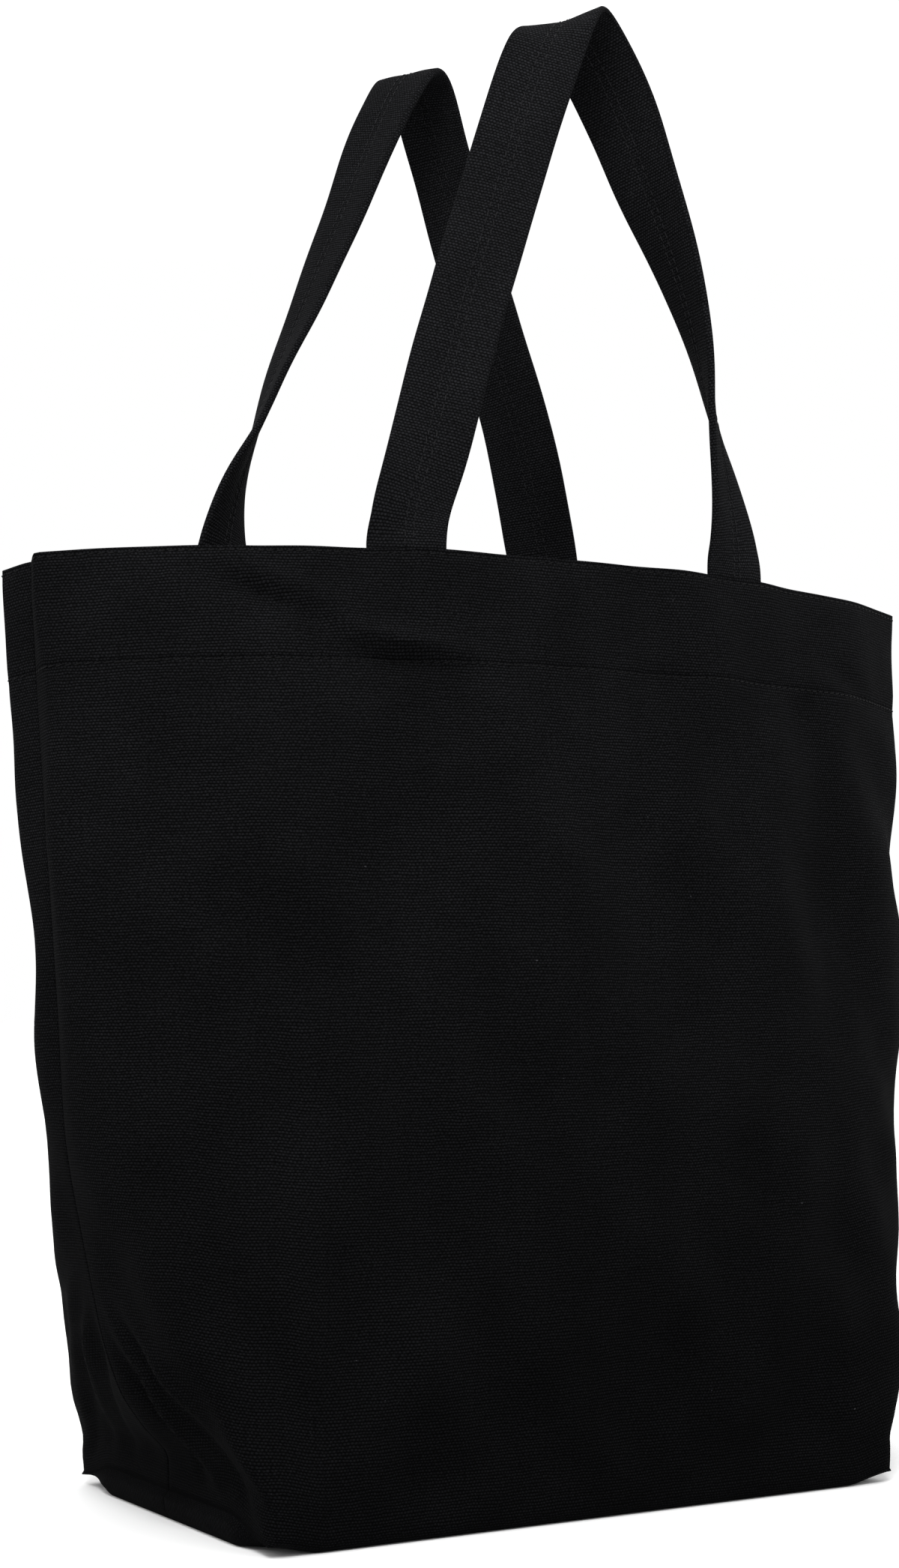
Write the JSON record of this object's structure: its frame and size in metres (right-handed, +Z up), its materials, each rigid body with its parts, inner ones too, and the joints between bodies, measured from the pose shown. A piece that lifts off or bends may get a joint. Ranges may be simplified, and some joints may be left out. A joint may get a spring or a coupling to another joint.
{
  "type": "canvas tote bag",
  "caption": "Open-topped black canvas tote bag with a boxed bottom and self-fabric carrying handles that stand up and fold over the rim.",
  "frame": {"origin": "centre of the flat base, on the surface that the bag stands on", "axes": "+Z up; -Y is the front, where the front handle is; +X to the right seen from the front"},
  "size_m": [0.4012, 0.168, 0.5937],
  "materials": {
    "canvas": "matte plain-weave cotton duck",
    "tape": "matte cotton twill tape",
    "thread": "matte polyester-cotton thread"
  },
  "bodies": {
    "bag": {"front_panel": "canvas", "back_panel": "canvas", "front_facing": "canvas", "back_facing": "canvas", "front_strap_left_end": "canvas", "front_strap_right_end": "canvas", "back_strap_left_end": "canvas", "back_strap_right_end": "canvas", "left_side_binding": "tape", "right_side_binding": "tape", "bottom_binding": "tape", "left_corner_binding": "tape", "right_corner_binding": "tape", "front_rim_stitching": "thread", "back_rim_stitching": "thread", "front_hem_stitching": "thread", "back_hem_stitching": "thread"},
    "front_handle": {"front_handle": "canvas", "front_handle_stitch_row_1": "thread", "front_handle_stitch_row_2": "thread"},
    "back_handle": {"back_handle": "canvas", "back_handle_stitch_row_1": "thread", "back_handle_stitch_row_2": "thread"}
  },
  "joints": [
    {"name": "front_handle_swing", "type": "hinge", "parent": "bag", "child": "front_handle", "pos_m": [0, -0.067, 0.3643], "axis": [1, 0, 0], "range_deg": [-7, 168]},
    {"name": "back_handle_swing", "type": "hinge", "parent": "bag", "child": "back_handle", "pos_m": [0, 0.067, 0.3643], "axis": [-1, 0, 0], "range_deg": [-7, 168]}
  ]
}
